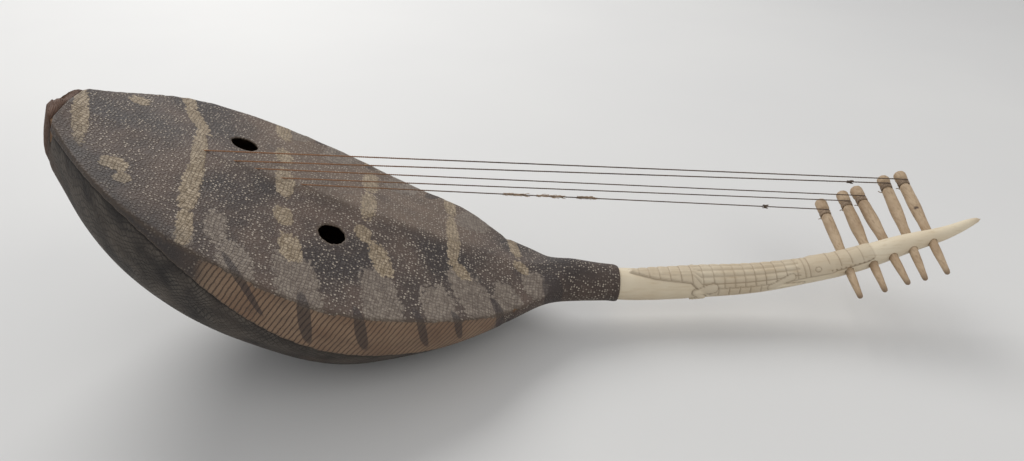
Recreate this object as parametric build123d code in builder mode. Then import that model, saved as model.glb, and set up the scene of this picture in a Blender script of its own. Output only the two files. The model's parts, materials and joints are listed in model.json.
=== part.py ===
"""Arched harp with a skin-covered wooden bowl, a carved neck, five tuning pegs and five strings.

The harp rests on its belly as on a table: +Z up, +X from the tail to the tip of the neck, the harp's
mirror plane at Y = 0. The origin is under the middle of the whole harp, on the table.
"""
from build123d import *
import math
import os

# ---- sizes of the bowl and its skins, mm and degrees ----
body_length = 486.0       # from the tail to the end of the skin's throat, along the bowl
body_half_width = 118.0   # at the widest station
body_depth = 118.0        # from the ridge to the belly, at the deepest station
body_tilt = 24.0          # how far the bowl's axis slopes down towards the neck, at rest
skin_thickness = 1.5
bowl_wall = 7.0
sleeve_radius = 15.6      # outside of the skin's throat, at its end round the neck
sleeve_slope = 4.0        # how steeply the throat's end and the neck's foot still fall, at rest
sound_hole_diameter = 22.0
sound_hole_reach = 41.0   # from the ridge to each sound hole's centre
belly_flat_depth = 0.6    # how much the resting spot on the belly is worn flat

# ---- sizes of the neck, the pegs and the strings ----
neck_length = 319.0       # from the skin's throat to the tip
neck_steps = 14           # sections that the neck is shaped through
foot_radius = 11.0        # of the neck's foot, in the bowl's socket
foot_length = 40.0
foot_clearance = 0.1      # round the foot and past its end
joint_setback = 26.0      # from the end of the skin's throat back to the neck's shoulder
peg_radius = 4.3          # of a peg where it meets the neck
peg_taper = 0.012         # growth of a peg's radius for each mm towards its head
peg_head_radius = 5.6
peg_crown = 3.5           # height of the head's rounded end
peg_waist_radius = 4.1    # under the head, where the string is wound
peg_head_length = 82.0    # from the neck's middle to the end of the head
peg_tip_length = 42.0     # from the neck's middle to the thin end
peg_clearance = 0.05      # radial gap between a peg and its hole in the neck
string_diameter = 1.2
winding_turns = 5
string_gap = 0.25         # between a string and the turns that it comes off
string_hole_clearance = 0.2
string_tail = 1.0         # how far a string's end passes the top of its winding
rib_width = 14.0
rib_height = 9.0
toggle_diameter = 3.6
toggle_length = 13.0

# ---- stations of the body, from the tail: place, half width, ridge, rim drop and belly ----
# Places are shares of the body's length, the rest are shares of its half width or its depth.
stations = [
    (-0.020, 0.060, -0.010, 0.018, -0.290),
    (0.022, 0.350, 0.012, 0.022, -0.480),
    (0.058, 0.500, 0.000, 0.026, -0.585),
    (0.123, 0.720, 0.000, 0.041, -0.750),
    (0.202, 0.875, 0.000, 0.068, -0.890),
    (0.290, 0.955, 0.000, 0.100, -0.985),
    (0.391, 1.000, 0.000, 0.142, -1.000),
    (0.492, 0.955, 0.000, 0.162, -0.990),
    (0.597, 0.818, 0.000, 0.130, -0.823),
    (0.679, 0.675, 0.000, 0.092, -0.585),
    (0.741, 0.485, 0.010, 0.092, -0.415),
    (0.792, 0.316, 0.070, 0.088, -0.259),
]
belly_fullness = 0.664    # of the belly's corners: 0.552 is an ellipse, 1 nearly a box

# ---- the round throat: place, its axis over the ridge line in depths, radius in mm, slope ----
throat_rings = [(0.845, 0.002, 19.8, 17.0), (0.880, 0.052, 17.9, 11.0), (0.910, 0.092, 16.7, 6.0)]
sleeve_share = 0.939
sleeve_rise = 0.125

# ---- what lies under the soundboard skin ----
cavity_stations = slice(1, 11)
rib_shares = (0.012, 0.775)
sound_hole_shares = (0.247, 0.424)

# ---- the two lapped skins meet along this seam: place along the body, height in depths ----
seam_points = [(-0.004, -0.05), (0.060, -0.06), (0.146, -0.09), (0.216, -0.18), (0.300, -0.33),
               (0.390, -0.45), (0.500, -0.51), (0.600, -0.48), (0.680, -0.42), (0.740, -0.36)]
seam_exit = (0.80, -0.55)

# ---- the neck's line: share of its length from the throat, rise, radius as a share ----
neck_line = [(0.00, 0.0, 1.00), (0.10, -1.5, 1.01), (0.24, 0.0, 1.00), (0.38, 1.9, 0.92),
             (0.455, 4.7, 0.85), (0.53, 8.9, 0.78), (0.60, 13.8, 0.76), (0.665, 19.7, 0.74),
             (0.73, 27.4, 0.68), (0.795, 35.7, 0.61), (0.90, 47.0, 0.44), (0.955, 54.5, 0.26),
             (1.00, 62.3, 0.10)]

# ---- each peg, from the bowl outwards: share of the neck's length, sideways lean and rise of
# its head in degrees, the winding's distance from the head's end, and where its string enters ----
peg_places = [0.652, 0.715, 0.766, 0.821, 0.874]
peg_leans = [4.0, 3.2, 0.8, 4.5, 3.5]
peg_lifts = [13.0, 14.5, 13.0, 17.5, 16.5]
winding_insets = [19.0, 18.0, 18.0, 14.0, 15.0]
string_entries = [0.360, 0.328, 0.284, 0.248, 0.201]


def on_body(share, height=0.0, side=0.0):
    """Point at a share of the body's length, at a height over the ridge line, before the lift."""
    along = share * body_length
    slope = math.radians(body_tilt)
    return Vector(along * math.cos(slope) + height * math.sin(slope), side,
                  -along * math.sin(slope) + height * math.cos(slope))


def falling_plane(centre, slope):
    """Plane across the harp at a centre, where its axis falls at slope degrees towards the tip.

    Its X runs to the side and its Y upwards.
    """
    angle = math.radians(slope)
    return Plane(origin=centre, x_dir=(0, 1, 0), z_dir=(math.cos(angle), 0, -math.sin(angle)))


def body_outline(station, inset):
    """Half width, ridge, rim and bottom of one station of the body, drawn in by inset."""
    share, half_width, ridge, rim_drop, bottom = station
    half = half_width * body_half_width - inset
    top = ridge * body_depth - inset
    low = bottom * body_depth + inset
    rim = top - rim_drop * body_depth
    return half, top, rim, low


def draw_station(station, inset, setback=0.0):
    """Closed section: two slopes of the soundboard and one round belly."""
    half, top, rim, low = body_outline(station, inset)
    full = belly_fullness
    corner = rim - full * (rim - low)
    with BuildSketch(falling_plane(on_body(station[0] + setback / body_length), body_tilt)) as section:
        with BuildLine():
            Polyline((half, rim), (0, top), (-half, rim))
            Bezier((-half, rim), (-half, corner), (-full * half, low), (0, low))
            Bezier((0, low), (full * half, low), (half, corner), (half, rim))
        make_face()
    return section.sketch


def draw_round(centre, slope, radius):
    """Round section of the throat, in the same four edges as a station."""
    slant = radius * math.sqrt(0.5)
    with BuildSketch(falling_plane(centre, slope)) as section:
        with BuildLine():
            ThreePointArc((radius, 0), (slant, slant), (0, radius))
            ThreePointArc((0, radius), (-slant, slant), (-radius, 0))
            ThreePointArc((-radius, 0), (-slant, -slant), (0, -radius))
            ThreePointArc((0, -radius), (slant, -slant), (radius, 0))
        make_face()
    return section.sketch


throat_end = on_body(sleeve_share, sleeve_rise * body_depth)


def loft_body(inset):
    """Solid of the body from the tail to the end of the throat, drawn in by inset, before the lift."""
    with BuildPart() as solid:
        loft([draw_station(stations[0], inset, inset)]
             + [draw_station(station, inset) for station in stations[1:]]
             + [draw_round(on_body(share, rise * body_depth), slope, radius - inset)
                for share, rise, radius, slope in throat_rings]
             + [draw_round(throat_end, sleeve_slope, sleeve_radius - inset)])
    return solid.part


def cut_off(plane):
    """Large block that starts at a plane and reaches far past it."""
    with BuildPart() as block:
        with BuildSketch(plane):
            Rectangle(3 * body_length, 3 * body_length)
        extrude(amount=2 * body_length)
    return block.part


# ---- the lift sets the belly on the table, and the shift centres the harp over the origin ----
body_blank = loft_body(0)
lift = -body_blank.bounding_box().min.Z - belly_flat_depth
shift = -(body_blank.bounding_box().min.X + throat_end.X + neck_length) / 2
home = Vector(shift, 0, lift)

with BuildPart() as outside:
    with Locations(home):
        add(body_blank)
with BuildPart() as inside:
    with Locations(home):
        add(loft_body(skin_thickness))


def body_point(share, height=0.0, side=0.0):
    return on_body(share, height, side) + home


def body_plane(share, side=0.0, height=0.0):
    """Plane across the lifted body at a share of its length."""
    return falling_plane(body_point(share, height, side), body_tilt)


# ---- the neck's line ----
neck_start = throat_end + home
throat_axis = falling_plane(neck_start, sleeve_slope).z_dir
joint_point = neck_start - throat_axis * joint_setback
neck_radius = sleeve_radius - skin_thickness
neck_points = [neck_start + Vector(share * neck_length, 0, rise) for share, rise, radius in neck_line]
neck_path = Spline(*neck_points)


def neck_share_at(share):
    """Where the neck's line has covered a share of its length along X."""
    low, high = 0.0, 1.0
    for _ in range(40):
        middle = (low + high) / 2
        if (neck_path @ middle).X < neck_start.X + share * neck_length:
            low = middle
        else:
            high = middle
    return low


# ---- the pegs' axes and windings ----
winding_length = winding_turns * string_diameter
winding_radius = peg_waist_radius + string_diameter
shank_reach = 2 * neck_radius     # length of the hole cut for a peg, each way


def peg_direction(number):
    """Unit vector from a peg's thin end to its head."""
    lean, rise = math.radians(peg_leans[number]), math.radians(peg_lifts[number])
    return Vector(math.sin(lean), math.cos(lean) * math.cos(rise), math.cos(lean) * math.sin(rise))


def peg_centre(number):
    return neck_path @ neck_share_at(peg_places[number])


def peg_plane(number):
    """Plane through a peg's axis: its Y runs along the peg to the head, its X across."""
    along = peg_direction(number)
    normal = along.cross(Vector(1, 0, 0)).normalized()
    return Plane(origin=peg_centre(number), x_dir=along.cross(normal), z_dir=normal)


def shank_radius(distance):
    """Radius of a peg's tapered shank, at a distance from the neck's middle towards the head."""
    return peg_radius + distance * peg_taper


def winding_centre(number):
    return peg_centre(number) + peg_direction(number) * (peg_head_length - winding_insets[number])


def string_ends(number):
    """A string's line: where it enters the skin, and where it leaves its winding."""
    entry = body_point(string_entries[number])
    middle = winding_centre(number)
    along = (middle - entry).normalized()
    over = along.cross(peg_direction(number)).normalized()
    touch = middle + over * (winding_radius + string_gap + string_diameter / 2)
    return entry, touch


os.makedirs("parts", exist_ok=True)
foot_plane = falling_plane(joint_point, sleeve_slope)
past_joint = cut_off(foot_plane)
under_table = cut_off(Plane(origin=(0, 0, 0), z_dir=(0, 0, -1)))

# ---- soundboard skin and belly skin: one thin shell, cut along the seam ----
along_body = body_plane(0).z_dir
above_body = body_plane(0).y_dir
body_side = Plane(origin=home, x_dir=along_body, z_dir=(0, -1, 0))
with BuildPart() as above_seam:
    with BuildSketch(body_side):
        with BuildLine():
            seam = Spline(*[(share * body_length, height * body_depth)
                            for share, height in seam_points])
            Polyline(seam @ 1, (seam_exit[0] * body_length, seam_exit[1] * body_depth),
                     (body_length * 1.1, seam_exit[1] * body_depth),
                     (body_length * 1.1, body_depth), (seam_points[0][0] * body_length, body_depth),
                     seam @ 0)
        make_face()
    extrude(amount=body_half_width * 1.5, both=True)

with BuildPart() as belly_skin:
    add(outside.part)
    add(inside.part, mode=Mode.SUBTRACT)
    add(above_seam.part, mode=Mode.SUBTRACT)
    add(under_table, mode=Mode.SUBTRACT)
belly_skin.part.label = "belly_skin"
export_step(belly_skin.part, "parts/belly_skin.step")

# The soundboard skin has a sound hole each side of the ridge, one nearer the tail, and a small
# hole on the ridge for each string. Its throat is a sleeve round the neck.
string_lines = [string_ends(number) for number in range(len(peg_places))]


def string_bore(number, radius):
    """Straight rod along a string, from the middle of its toggle to the string's end."""
    entry, touch = string_lines[number]
    along = (touch - entry).normalized()
    toggle_drop = skin_thickness + rib_height + toggle_diameter / 2
    foot = entry - along * (toggle_drop / along.dot(above_body))
    with BuildPart() as rod:
        with BuildSketch(Plane(origin=foot, z_dir=along)):
            Circle(radius)
        extrude(amount=(touch - foot).length + string_tail)
    return rod.part, foot, along


with BuildPart() as soundboard_skin:
    add(outside.part)
    add(inside.part, mode=Mode.SUBTRACT)
    add(above_seam.part, mode=Mode.INTERSECT)
    for share, side in zip(sound_hole_shares, (sound_hole_reach, -sound_hole_reach)):
        with BuildSketch(Plane(origin=body_point(share, -body_depth / 3, side),
                               x_dir=(0, 1, 0), z_dir=above_body)):
            Circle(sound_hole_diameter / 2)
        extrude(amount=body_depth / 2, mode=Mode.SUBTRACT)
    for number in range(len(peg_places)):
        add(string_bore(number, string_diameter / 2 + string_hole_clearance)[0], mode=Mode.SUBTRACT)
soundboard_skin.part.label = "soundboard_skin"
export_step(soundboard_skin.part, "parts/soundboard_skin.step")

# ---- string rib: a stick under the ridge, which the strings pass through ----
with BuildPart() as rib_blank:
    with BuildSketch(body_side):
        rib_low = -skin_thickness - rib_height
        with BuildLine():
            Polyline((rib_shares[0] * body_length, rib_low), (rib_shares[1] * body_length, rib_low),
                     (rib_shares[1] * body_length, body_depth / 4),
                     (rib_shares[0] * body_length, body_depth / 4), close=True)
        make_face()
    extrude(amount=rib_width / 2, both=True)
with BuildPart() as string_rib:
    add(inside.part)
    add(rib_blank.part, mode=Mode.INTERSECT)
    for number in range(len(peg_places)):
        add(string_bore(number, string_diameter / 2 + string_hole_clearance)[0], mode=Mode.SUBTRACT)
string_rib.part.label = "string_rib"
export_step(string_rib.part, "parts/string_rib.step")

# ---- bowl: carved hollow, open under the soundboard, with a socket for the neck's foot ----
hollow_inset = skin_thickness + bowl_wall


def draw_hollow(station, setback):
    """Section of the hollow: the belly drawn in by the wall, and open upwards."""
    half, top, rim, low = body_outline(station, hollow_inset)
    open_top = top + body_depth / 2
    full = belly_fullness
    corner = rim - full * (rim - low)
    with BuildSketch(body_plane(station[0] + setback / body_length)) as section:
        with BuildLine():
            Polyline((half, rim), (half, open_top), (-half, open_top), (-half, rim))
            Bezier((-half, rim), (-half, corner), (-full * half, low), (0, low))
            Bezier((0, low), (full * half, low), (half, corner), (half, rim))
        make_face()
    return section.sketch


with BuildPart() as hollow:
    first_station, *later_stations = stations[cavity_stations]
    loft([draw_hollow(first_station, bowl_wall)] + [draw_hollow(station, 0) for station in later_stations])

with BuildPart() as sound_bowl:
    add(inside.part)
    add(past_joint, mode=Mode.SUBTRACT)
    add(hollow.part, mode=Mode.SUBTRACT)
    with BuildSketch(foot_plane):
        Circle(foot_radius + foot_clearance)
    extrude(amount=-foot_length - foot_clearance, mode=Mode.SUBTRACT)
    add(rib_blank.part, mode=Mode.SUBTRACT)
sound_bowl.part.label = "sound_bowl"
export_step(sound_bowl.part, "parts/sound_bowl.step")

# ---- neck: foot, shoulder inside the skin's throat, and the long arch with five peg holes ----
def neck_radius_at(share):
    """Radius of the neck between the places that its line gives."""
    for (low, _, low_radius), (high, _, high_radius) in zip(neck_line, neck_line[1:]):
        if share <= high:
            return neck_radius * (low_radius + (high_radius - low_radius) * (share - low) / (high - low))


def neck_ring(share):
    """Round section across the neck's line."""
    on_line = neck_share_at(share)
    heading = neck_path % on_line if share else throat_axis
    middle = neck_path @ on_line
    with BuildSketch(Plane(origin=middle, x_dir=(0, 1, 0), z_dir=heading)) as ring:
        Circle(neck_radius_at(share))
    return ring.sketch


with BuildPart() as neck_arch:
    loft([neck_ring(step / neck_steps) for step in range(neck_steps + 1)])

with BuildPart() as neck:
    add(inside.part)
    add(past_joint, mode=Mode.INTERSECT)
    add(neck_arch.part)
    with BuildSketch(foot_plane):
        Circle(foot_radius)
    extrude(amount=-foot_length)
    for number in range(len(peg_places)):
        with BuildSketch(peg_plane(number)):
            with BuildLine():
                Polyline((0, -shank_reach), (shank_radius(-shank_reach) + peg_clearance, -shank_reach),
                         (shank_radius(shank_reach) + peg_clearance, shank_reach), (0, shank_reach),
                         close=True)
            make_face()
        revolve(axis=Axis(peg_centre(number), peg_direction(number)), mode=Mode.SUBTRACT)
neck.part.label = "neck"
export_step(neck.part, "parts/neck.step")


# ---- pegs, their windings, the strings and the toggles that hold them under the rib ----
def make_peg(number):
    """Tapered shank, a waist for the string, and a rounded head."""
    waist_middle = peg_head_length - winding_insets[number]
    waist_low, waist_high = waist_middle - winding_length / 2, waist_middle + winding_length / 2
    shoulder = waist_high + (peg_head_radius - peg_waist_radius)
    crown_radius = (peg_crown ** 2 + peg_head_radius ** 2) / (2 * peg_crown)
    crown_centre = peg_head_length - crown_radius
    half_angle = math.asin(peg_head_radius / crown_radius) / 2
    with BuildPart() as peg:
        with BuildSketch(peg_plane(number)):
            with BuildLine():
                Polyline((0, -peg_tip_length), (shank_radius(-peg_tip_length) * 0.6, -peg_tip_length),
                         (shank_radius(-peg_tip_length), -peg_tip_length + 3),
                         (shank_radius(waist_low - 1), waist_low - 1),
                         (peg_waist_radius, waist_low), (peg_waist_radius, waist_high),
                         (peg_head_radius, shoulder),
                         (peg_head_radius, peg_head_length - peg_crown))
                ThreePointArc((peg_head_radius, peg_head_length - peg_crown),
                              (crown_radius * math.sin(half_angle),
                               crown_centre + crown_radius * math.cos(half_angle)),
                              (0, peg_head_length))
                Line((0, peg_head_length), (0, -peg_tip_length))
            make_face()
        revolve(axis=Axis(peg_centre(number), peg_direction(number)))
    return peg


def make_winding(number):
    """Close turns of string round the waist of a peg."""
    middle = peg_head_length - winding_insets[number]
    low = middle - winding_length / 2
    bead = string_diameter / 2
    with BuildPart() as winding:
        with BuildSketch(peg_plane(number)):
            with BuildLine():
                Polyline((peg_waist_radius + bead, low), (peg_waist_radius, low),
                         (peg_waist_radius, low + winding_length),
                         (peg_waist_radius + bead, low + winding_length))
                for turn in range(winding_turns):
                    start = low + turn * string_diameter
                    ThreePointArc((peg_waist_radius + bead, start), (winding_radius, start + bead),
                                  (peg_waist_radius + bead, start + string_diameter))
            make_face()
        revolve(axis=Axis(peg_centre(number), peg_direction(number)))
    return winding


for number in range(len(peg_places)):
    peg = make_peg(number)
    peg.part.label = f"peg_{number + 1}"
    export_step(peg.part, f"parts/peg_{number + 1}.step")

    winding = make_winding(number)
    winding.part.label = f"peg_winding_{number + 1}"
    export_step(winding.part, f"parts/peg_winding_{number + 1}.step")

    string_rod, string_foot, string_along = string_bore(number, string_diameter / 2)
    with BuildPart() as string:
        add(string_rod)
    string.part.label = f"string_{number + 1}"
    export_step(string.part, f"parts/string_{number + 1}.step")

    with BuildPart() as toggle:
        with BuildSketch(Plane(origin=string_foot, x_dir=along_body, z_dir=(0, 1, 0))):
            Circle(toggle_diameter / 2)
        extrude(amount=toggle_length / 2, both=True)
        add(string_rod, mode=Mode.SUBTRACT)
    toggle.part.label = f"string_toggle_{number + 1}"
    export_step(toggle.part, f"parts/string_toggle_{number + 1}.step")

    turn_axis = peg_direction(number)
    print(f"peg_{number + 1} axis at", peg_centre(number), "along", turn_axis,
          "string length", (string_lines[number][1] - string_foot).length + string_tail)

print("lift", lift, "shift", shift)
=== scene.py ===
"""Looks of an arched harp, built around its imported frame: lizard hides over the bowl, a neck carved
with a crocodile, five whittled pegs and five twisted strings. Metres, in the frame of the CAD model."""
import bpy
import bmesh
import json
import math
import random
from mathutils import Matrix, Vector, noise
from mathutils.bvhtree import BVHTree


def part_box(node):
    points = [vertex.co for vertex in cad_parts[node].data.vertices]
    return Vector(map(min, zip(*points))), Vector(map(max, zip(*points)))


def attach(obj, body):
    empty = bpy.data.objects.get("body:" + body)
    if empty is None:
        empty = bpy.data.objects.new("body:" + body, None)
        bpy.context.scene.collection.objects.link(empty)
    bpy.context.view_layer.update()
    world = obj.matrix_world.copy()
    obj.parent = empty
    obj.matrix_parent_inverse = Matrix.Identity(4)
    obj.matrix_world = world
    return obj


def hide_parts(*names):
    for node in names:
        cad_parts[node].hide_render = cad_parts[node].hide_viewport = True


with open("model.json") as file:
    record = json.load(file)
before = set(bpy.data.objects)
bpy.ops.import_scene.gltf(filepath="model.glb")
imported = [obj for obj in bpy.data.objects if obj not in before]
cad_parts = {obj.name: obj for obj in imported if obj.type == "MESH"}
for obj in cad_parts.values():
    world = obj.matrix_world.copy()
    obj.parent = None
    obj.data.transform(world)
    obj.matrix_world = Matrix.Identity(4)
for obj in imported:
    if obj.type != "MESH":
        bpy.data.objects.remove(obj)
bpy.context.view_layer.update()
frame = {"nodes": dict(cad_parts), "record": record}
scene = bpy.context.scene
scene.view_settings.view_transform = "Standard"
MM = 0.001
SIDE = Vector((0, 1, 0))
RIDGE_START = Vector((-0.3596, 0, 0.2077))    # where the ridge begins, at the tail
BODY_TILT = 24.0                              # how far the ridge falls towards the neck, degrees
STRINGS = range(1, 6)
TURNS = 7                                     # of string round each peg
joints = {joint["child"]: joint for joint in frame["record"]["behaviour"]["joints"]}

# ---- camera: its place, its right and its line of sight ----
VIEWPOINT = Vector((-0.0790, -0.5276, 0.4245))
RIGHT = Vector((0.9970, -0.0718, 0.0271))
AHEAD = Vector((0.0752, 0.8445, -0.5303))


def make_camera():
    data = bpy.data.cameras.new("camera")
    data.sensor_width = 36
    data.lens = 26.02
    data.clip_start, data.clip_end = 0.01, 50
    camera = bpy.data.objects.new("camera", data)
    scene.collection.objects.link(camera)
    right = RIGHT.normalized()
    back = -(AHEAD - right * AHEAD.dot(right)).normalized()
    turn = Matrix((right, back.cross(right), back)).transposed().to_4x4()
    camera.matrix_world = Matrix.Translation(VIEWPOINT) @ turn
    scene.camera = camera


def make_light(name, place, size, energy, colour):
    data = bpy.data.lights.new(name, "AREA")
    data.shape, data.size, data.energy, data.color = "DISK", size, energy, colour
    light = bpy.data.objects.new(name, data)
    scene.collection.objects.link(light)
    light.matrix_world = (Matrix.Translation(place)
                          @ (-Vector(place)).to_track_quat("-Z", "Y").to_matrix().to_4x4())


# ---- shader maths ----
class Socket:
    """A value in a material's node tree, so that sums of values read as Python."""

    def __init__(self, material, link):
        self.material, self.link = material, link

    def maths(self, operation, *values, clamp=False):
        return self.material.node("ShaderNodeMath", dict(operation=operation, use_clamp=clamp), *values)

    def __add__(self, other):
        return self.maths("ADD", self, other)

    def __sub__(self, other):
        return self.maths("SUBTRACT", self, other)

    def __mul__(self, other):
        return self.maths("MULTIPLY", self, other)

    def __truediv__(self, other):
        return self.maths("DIVIDE", self, other)

    def __radd__(self, other):
        return self.maths("ADD", other, self)

    def __rsub__(self, other):
        return self.maths("SUBTRACT", other, self)

    def __rmul__(self, other):
        return self.maths("MULTIPLY", other, self)

    def fraction(self):
        return self.maths("FRACT", self)

    def size(self):
        return self.maths("ABSOLUTE", self)

    def most(self, other):
        return self.maths("MAXIMUM", self, other)

    def step(self, low, high):
        """0 below low, 1 above high and smooth between them; low may be the larger."""
        return self.material.node("ShaderNodeMapRange", dict(interpolation_type="SMOOTHSTEP"),
                                  self, low, high, 0.0, 1.0)


class Finish:
    """A material, its principled shader and the one way that every other node is made."""

    def __init__(self, name, roughness=0.6, coat=0.0, specular=0.4):
        self.material = bpy.data.materials.new(name)
        self.material.use_nodes = True
        self.tree = self.material.node_tree
        self.shader = self.tree.nodes["Principled BSDF"]
        self.shader.inputs["Roughness"].default_value = roughness
        self.shader.inputs["Coat Weight"].default_value = coat
        self.shader.inputs["Specular IOR Level"].default_value = specular

    def node(self, kind, settings=None, *values, output=0, **named):
        made = self.tree.nodes.new(kind)
        for key, value in (settings or {}).items():
            setattr(made, key, value)
        pairs = list(enumerate(values)) + [(key.replace("_", " "), value) for key, value in named.items()]
        for key, value in pairs:
            self.plug(made.inputs[key], value)
        return Socket(self, made.outputs[output])

    def plug(self, socket, value):
        if isinstance(value, Socket):
            self.tree.links.new(value.link, socket)
        elif value is not None:
            socket.default_value = value

    def place(self, kind="Object"):
        return self.node("ShaderNodeTexCoord", output=kind)

    def parts(self, vector):
        split = self.tree.nodes.new("ShaderNodeSeparateXYZ")
        self.plug(split.inputs[0], vector)
        return [Socket(self, out) for out in split.outputs]

    def join(self, x, y, z=0.0):
        return self.node("ShaderNodeCombineXYZ", None, x, y, z)

    def noise(self, vector, scale, detail=3.0, output="Fac"):
        return self.node("ShaderNodeTexNoise", None, output=output, Vector=vector, Scale=scale,
                         Detail=detail)

    def cells(self, vector, scale, randomness=1.0, output="Distance", feature="F1"):
        return self.node("ShaderNodeTexVoronoi", dict(feature=feature), output=output,
                         Vector=vector, Scale=scale, Randomness=randomness)

    def painted(self, name):
        return self.node("ShaderNodeAttribute", dict(attribute_name=name), output="Fac")

    def blend(self, share, first, second):
        """Colour that goes from first to second as share goes from 0 to 1."""
        made = self.tree.nodes.new("ShaderNodeMix")
        made.data_type = "RGBA"
        self.plug(made.inputs["Factor"], share)
        for socket, value in ((made.inputs[6], first), (made.inputs[7], second)):
            self.plug(socket, value if isinstance(value, Socket) else (*value, 1.0))
        return Socket(self, made.outputs[2])

    def bump(self, height, distance, strength=1.0, under=None):
        return self.node("ShaderNodeBump", None, output="Normal", Height=height,
                         Distance=distance, Strength=strength, Normal=under)

    def done(self, colour, normal=None, roughness=None):
        self.plug(self.shader.inputs["Base Color"], colour)
        self.plug(self.shader.inputs["Normal"], normal)
        self.plug(self.shader.inputs["Roughness"], roughness)
        return self.material


# colours of the hides, in linear light
HIDE_DARK = (0.036, 0.028, 0.026)
HIDE_WARM = (0.100, 0.070, 0.055)
HIDE_BEAD = (0.430, 0.370, 0.305)
BAND_TAN = (0.235, 0.180, 0.118)
FLANK_TAN = (0.158, 0.128, 0.102)
SCUTE_ORANGE = (0.200, 0.122, 0.076)
HIDE_STAIN = (0.040, 0.031, 0.030)


def finish_top_hide():
    """Beaded lizard skin: pale beads on a dark ground, tan bands of square scales, long side scutes."""
    skin = Finish("lizard_skin", roughness=0.62, specular=0.35)
    along, girth, _ = skin.parts(skin.place("UV"))
    flat = skin.join(along, girth)
    drift = skin.noise(flat, 28.0, 4.0)
    fine = skin.noise(flat, 900.0, 2.0)

    bead_size = 1 / 2.3
    bead_reach = skin.cells(flat, 1000 * bead_size, 0.55)
    bead_mood = skin.parts(skin.cells(flat, 1000 * bead_size, 0.55, output="Color"))[0]
    shade = skin.painted("shade")
    bead = bead_reach.step(0.46, 0.18) * (bead_mood.step(0.05, 0.95) * 0.9 + 0.1) * (1 - shade * 0.85)
    gap = bead_reach.step(0.38, 0.62)

    sway = skin.noise(flat, 120.0, 2.0) * 1.4
    row, file = along * (1000 / 2.7) + drift * 4.0 + sway, girth * (1000 / 2.9) + sway
    square_edge = (row.fraction() - 0.5).size().most((file.fraction() - 0.5).size())
    square = square_edge.step(0.50, 0.28) * 0.65 + 0.35 * bead_mood

    scute_row = (along - girth * 0.22 + drift * 0.003) * (1000 / 3.5) + sway * 0.35
    scute_wave = (scute_row.fraction() - 0.5).size()
    scute = scute_wave.step(0.50, 0.30)
    scute_cut = ((girth * (1000 / 7.0) + drift * 6.0 + sway).fraction() - 0.5).size()
    scute_break = scute_cut.step(0.50, 0.44) * 0.3 + 0.7

    jitter = (bead_mood - 0.5) * 0.34 + (drift - 0.5) * 0.5
    band = (skin.painted("band") + jitter).step(0.44, 0.58)
    flank = (skin.painted("flank") + jitter).step(0.42, 0.60)
    scutes = (skin.painted("scutes") + (drift - 0.5) * 0.10).step(0.35, 0.65)
    stripe = (skin.painted("stripe") + (drift - 0.5) * 0.5).step(0.40, 0.60)
    worn = skin.painted("edge")

    ground = skin.blend(skin.noise(flat, 16.0).step(0.35, 0.70), HIDE_DARK, HIDE_WARM)
    # painted light: the far slope of the ridge, which the light falls on, is painted a lighter warm brown
    ground = skin.blend(skin.painted("warm") * 0.75, ground, (0.155, 0.108, 0.076))
    beaded = skin.blend(bead, ground, HIDE_BEAD)
    banded = skin.blend(square, (0.135, 0.098, 0.060),
                        skin.blend(bead_mood, BAND_TAN, (0.40, 0.325, 0.235)))
    flanked = skin.blend(square, (0.105, 0.080, 0.066),
                         skin.blend(bead_mood, FLANK_TAN, (0.255, 0.215, 0.175)))
    sided = skin.blend(scute * scute_break, (0.098, 0.062, 0.046),
                       skin.blend(drift.step(0.3, 0.7), SCUTE_ORANGE, (0.270, 0.182, 0.118)))
    colour = skin.blend(flank, beaded, flanked)
    colour = skin.blend(band, colour, banded)
    colour = skin.blend(scutes, colour, sided)
    colour = skin.blend(stripe * 0.72, colour, HIDE_STAIN)
    colour = skin.blend(shade * 0.72, colour, (0.046, 0.040, 0.037))
    colour = skin.blend(worn * 0.7, colour, (0.120, 0.088, 0.062))
    grime = skin.noise(flat, 60.0, 5.0).step(0.52, 0.80)
    colour = skin.blend(grime * 0.30, colour, HIDE_STAIN)

    tan = band.most(flank)
    relief = (bead * (1 - tan) * 0.8 - gap * (1 - tan) * 0.4 + square * tan * 0.8) * (1 - scutes)
    relief = relief + scutes * scute * 0.9 + fine * 0.18
    normal = skin.bump(relief, 0.0009, 0.85)
    return skin.done(colour, normal, 0.52 + drift * 0.22)


def finish_belly_hide():
    """Underside of the skin: dull grey-brown, in slanting rows of fine scales."""
    skin = Finish("belly_hide", roughness=0.7, specular=0.3)
    along, girth, _ = skin.parts(skin.place("UV"))
    flat = skin.join(along, girth)
    drift = skin.noise(flat, 22.0, 4.0)
    slant = (along * 0.8 + girth * 0.6) * (1000 / 3.0) + drift * 7.0 + skin.noise(flat, 90.0) * 2.0
    rows = (slant.fraction() - 0.5).size().step(0.49, 0.30)
    file = ((girth * 0.8 - along * 0.6) * (1000 / 4.2) + drift * 5.0).fraction()
    scale = rows * (file - 0.5).size().step(0.49, 0.38)
    mottle = skin.noise(flat, 34.0, 4.0)
    colour = skin.blend(mottle.step(0.30, 0.72), (0.025, 0.021, 0.019), (0.070, 0.056, 0.045))
    colour = skin.blend(scale * 0.38 * skin.noise(flat, 70.0).step(0.3, 0.7), colour, (0.190, 0.165, 0.135))
    colour = skin.blend(skin.noise(flat, 11.0, 2.0).step(0.60, 0.74) * 0.6, colour, (0.16, 0.105, 0.072))
    colour = skin.blend(skin.painted("edge"), colour, (0.020, 0.016, 0.014))
    colour = skin.blend(skin.painted("rust") * 0.8, colour, (0.125, 0.060, 0.035))
    normal = skin.bump(scale + skin.noise(flat, 500.0) * 0.4, 0.0007, 0.8)
    return skin.done(colour, normal, 0.58 + drift * 0.22)


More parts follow.
